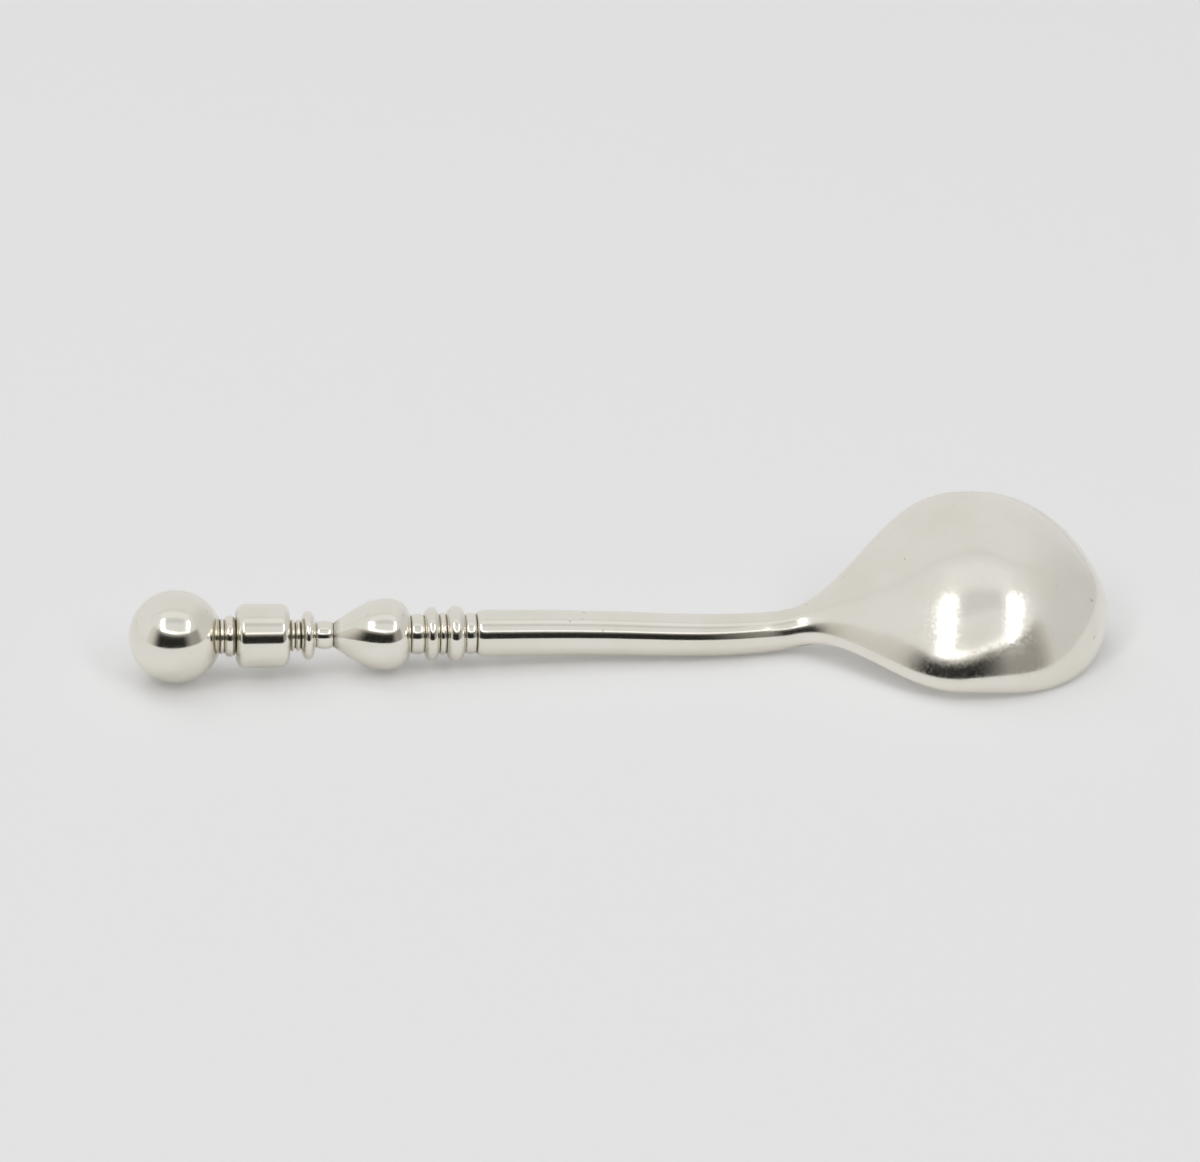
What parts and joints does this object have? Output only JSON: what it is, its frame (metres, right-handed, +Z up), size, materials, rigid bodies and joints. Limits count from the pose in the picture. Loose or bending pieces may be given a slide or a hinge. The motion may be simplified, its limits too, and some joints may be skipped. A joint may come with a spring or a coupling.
{
  "type": "condiment spoon",
  "caption": "Small silver condiment spoon with an egg-shaped bowl, a round tapering stem and a turned handle of rings and knops that ends in a ball.",
  "frame": {"origin": "on the table, under the middle of the spoon's outer size", "axes": "+X along the spoon from the ball to the bowl's tip, +Z up, the bowl's back up and its near rim, towards -Y, on the table"},
  "size_m": [0.076, 0.0156, 0.0109],
  "materials": {
    "polished_silver": "polished silver with fine wear scratches",
    "ring_silver": "polished silver, darker in the grooves",
    "bowl_silver": "polished silver with soft wear on the back"
  },
  "bodies": {
    "root": {"ball_finial": "polished_silver", "ball_ring": "ring_silver", "ball_neck_bead": "ring_silver", "barrel_knop": "polished_silver", "barrel_ring": "ring_silver", "disc_knop": "ring_silver", "pear_neck_bead": "ring_silver", "pear_knop": "polished_silver", "pear_ring": "ring_silver", "upper_ring": "ring_silver", "spacer_ring": "ring_silver", "lower_ring": "ring_silver", "stem_collar": "ring_silver", "stem": "polished_silver", "bowl": "bowl_silver"}
  },
  "joints": []
}
